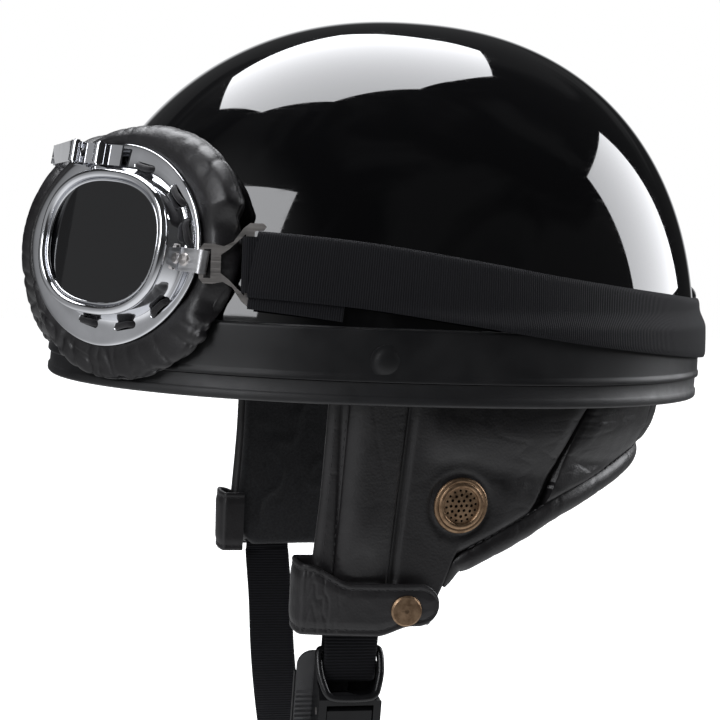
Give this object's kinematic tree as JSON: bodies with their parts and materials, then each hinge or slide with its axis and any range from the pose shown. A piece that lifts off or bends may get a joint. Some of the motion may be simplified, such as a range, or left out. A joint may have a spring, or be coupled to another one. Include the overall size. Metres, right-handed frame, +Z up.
{
  "type": "motorcycle helmet",
  "caption": "Open half-shell motorcycle helmet with leather ear flaps, buckled chin strap and strapped-on split-lens goggles that lift off.",
  "frame": {"origin": "middle of the head opening, level with the bottom of the rim", "axes": "+Z up through the crown, -X the way the wearer faces, -Y the wearer's left"},
  "size_m": [0.2952, 0.2332, 0.334],
  "materials": {
    "gloss_shell": "high gloss black, clear-coated",
    "matt_band": "matt black",
    "foam": "moulded bead foam",
    "lining_cloth": "brushed cloth",
    "leather": "soft black leather with a low sheen",
    "bronze": "antique bronze",
    "webbing": "ribbed nylon webbing",
    "elastic": "ribbed woven elastic",
    "black_plastic": "moulded satin black",
    "steel": "plain",
    "black_steel": "satin black",
    "chrome": "bright plated",
    "nickel": "dull nickel",
    "cord": "black lacing cord",
    "smoked_lens": "dark smoked"
  },
  "bodies": {
    "helmet": {"outer_shell": "gloss_shell", "rim_band": "matt_band", "edge_trim": "matt_band", "foam_liner": "foam", "crown_liner": "lining_cloth", "sweatband": "leather", "ear_flap_left": "leather", "ear_flap_right": "leather", "flap_lining_left": "lining_cloth", "flap_lining_right": "lining_cloth", "bolster_left": "leather", "bolster_right": "leather", "neck_curtain": "leather", "hem_roll": "leather", "vent_rings": "bronze", "vent_grilles": "bronze", "strap_rivets": "matt_band", "flap_snap_studs": "bronze", "tab_wrap_left": "leather", "tab_wrap_right": "leather", "chin_strap_left": "webbing", "chin_strap_right": "webbing", "buckle_housing": "black_plastic", "lever_pin": "steel", "lever_spring": "steel", "keeper_anchor": "leather", "keeper_stud": "black_steel"},
    "goggles": {"goggle_frame_left": "chrome", "goggle_frame_right": "chrome", "lens_bezel_left": "chrome", "lens_bezel_right": "chrome", "lens_left": "smoked_lens", "lens_right": "smoked_lens", "goggle_pad_left": "leather", "goggle_pad_right": "leather", "pad_lacing_left": "cord", "pad_lacing_right": "cord", "bridge_strip": "chrome", "bridge_pins": "chrome", "bridge_clips": "chrome", "side_clip_left": "chrome", "side_clip_right": "chrome", "clip_rivets": "steel", "strap_bracket_left": "nickel", "strap_bracket_right": "nickel", "elastic_strap": "elastic"},
    "keeper": {"strap_keeper": "leather", "keeper_snap": "black_steel"},
    "tab_left": {"strap_tab_left": "leather", "tab_snap_left": "bronze"},
    "tab_right": {"strap_tab_right": "leather", "tab_snap_right": "bronze"},
    "hang_ring": {"d_ring": "black_steel"},
    "lever": {"release_lever": "black_plastic"},
    "tongue": {"buckle_tongue": "black_plastic"}
  },
  "joints": [
    {"name": "goggles_lift_off", "type": "slide", "parent": "helmet", "child": "goggles", "axis": [0, 0, 1], "range_m": [0, 0.15]},
    {"name": "keeper_swing", "type": "hinge", "parent": "helmet", "child": "keeper", "pos_m": [0.1424, 0, -0.0024], "axis": [0, 1, 0], "range_deg": [0, 130]},
    {"name": "tab_left_open", "type": "hinge", "parent": "helmet", "child": "tab_left", "pos_m": [-0.0475, -0.09532, -0.077], "axis": [0, 0, -1], "range_deg": [0, 100]},
    {"name": "tab_right_open", "type": "hinge", "parent": "helmet", "child": "tab_right", "pos_m": [-0.0475, 0.09532, -0.077], "axis": [0, 0, 1], "range_deg": [0, 100]},
    {"name": "hang_ring_swing", "type": "hinge", "parent": "helmet", "child": "hang_ring", "pos_m": [-0.026, -0.08222, -0.09907], "axis": [-1, 0, 0], "range_deg": [0, 65]},
    {"name": "lever_lift", "type": "hinge", "parent": "helmet", "child": "lever", "pos_m": [-0.026, -0.08376, -0.12344], "axis": [-1, 0, 0], "range_deg": [0, 25], "stiffness_Nm_per_rad": 0.03, "springref_deg": -11.46, "deforming": ["lever_spring"]},
    {"name": "tongue_slide", "type": "slide", "parent": "helmet", "child": "tongue", "axis": [0, 0.1219, -0.9925], "range_m": [0, 0.044], "deforming": ["chin_strap_right"]}
  ],
  "couplings": [
    {"joint": "keeper_swing", "follows": "goggles_lift_off", "rad_per_m": 15}
  ]
}
